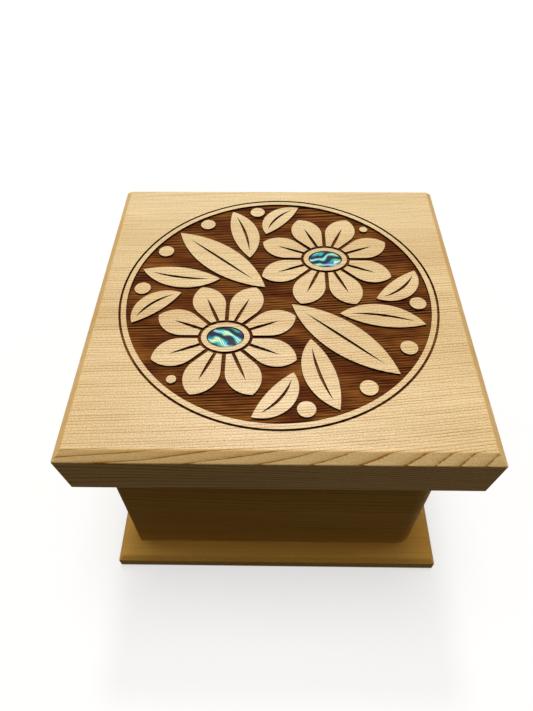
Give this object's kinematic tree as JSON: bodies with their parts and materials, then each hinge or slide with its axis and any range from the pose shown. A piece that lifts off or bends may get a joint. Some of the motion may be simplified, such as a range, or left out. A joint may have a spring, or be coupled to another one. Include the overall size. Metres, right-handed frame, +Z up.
{
  "type": "bentwood box",
  "caption": "Square bentwood keepsake box: one kerf-bent plank pegged to a wider base, with a thick bevelled lift-off lid carrying an engraved, shell-inlaid medallion.",
  "frame": {"origin": "middle of the base's underside, at the centre of the bottom of the bounding box", "axes": "+Z up and out of the lid, -Y towards the front, +X to the right seen from the front"},
  "size_m": [0.19, 0.19, 0.135],
  "materials": {
    "cedar": "pale yellow cedar, fine straight grain, satin oil",
    "peg_wood": "plain split wood, unfinished ends",
    "shell": "polished iridescent shell"
  },
  "bodies": {
    "box": {"base_plank": "cedar", "side_plank": "cedar", "base_peg_1": "peg_wood", "base_peg_2": "peg_wood", "base_peg_3": "peg_wood", "base_peg_4": "peg_wood", "base_peg_5": "peg_wood", "base_peg_6": "peg_wood", "base_peg_7": "peg_wood", "base_peg_8": "peg_wood", "corner_peg_1": "peg_wood", "corner_peg_2": "peg_wood", "corner_peg_3": "peg_wood", "corner_peg_4": "peg_wood"},
    "lid": {"lid_plank": "cedar", "lid_plug": "cedar", "shell_inlay_right": "shell", "shell_inlay_left": "shell", "lid_peg_1": "peg_wood", "lid_peg_2": "peg_wood", "lid_peg_3": "peg_wood", "lid_peg_4": "peg_wood"}
  },
  "joints": [
    {"name": "lid_lift", "type": "slide", "parent": "box", "child": "lid", "axis": [0, 0, 1], "range_m": [0, 0.12]}
  ]
}
